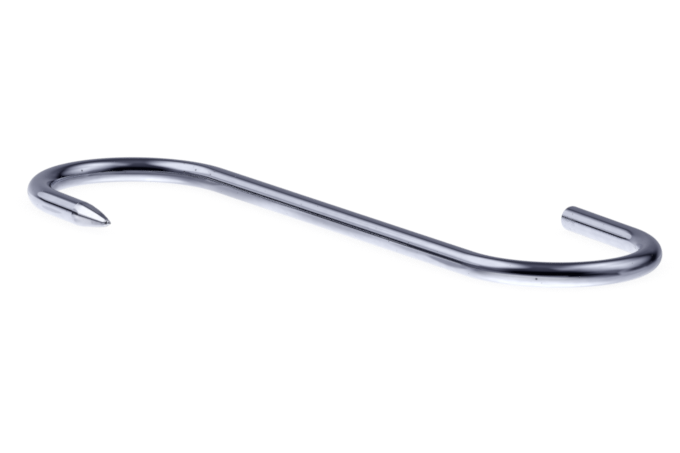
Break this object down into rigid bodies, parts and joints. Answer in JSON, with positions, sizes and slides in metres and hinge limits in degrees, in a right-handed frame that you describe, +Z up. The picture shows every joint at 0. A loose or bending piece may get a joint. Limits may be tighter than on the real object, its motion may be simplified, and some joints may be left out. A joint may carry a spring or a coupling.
{
  "type": "s hook",
  "caption": "S-shaped hanging hook bent from round steel bar, with a ground point on the load end and a blunt cut on the rail end.",
  "frame": {"origin": "under the middle of the box around the hook, on the surface that it lies on", "axes": "+X along the straight shank, towards the bend with the blunt end. +Z up, square to the plane of the S. The pointed leg lies on the -Y side and the blunt leg on the +Y side"},
  "size_m": [0.2064, 0.1382, 0.008],
  "materials": {
    "steel": "bright drawn and polished, near mirror"
  },
  "bodies": {
    "root": {"hook": "steel"}
  },
  "joints": []
}
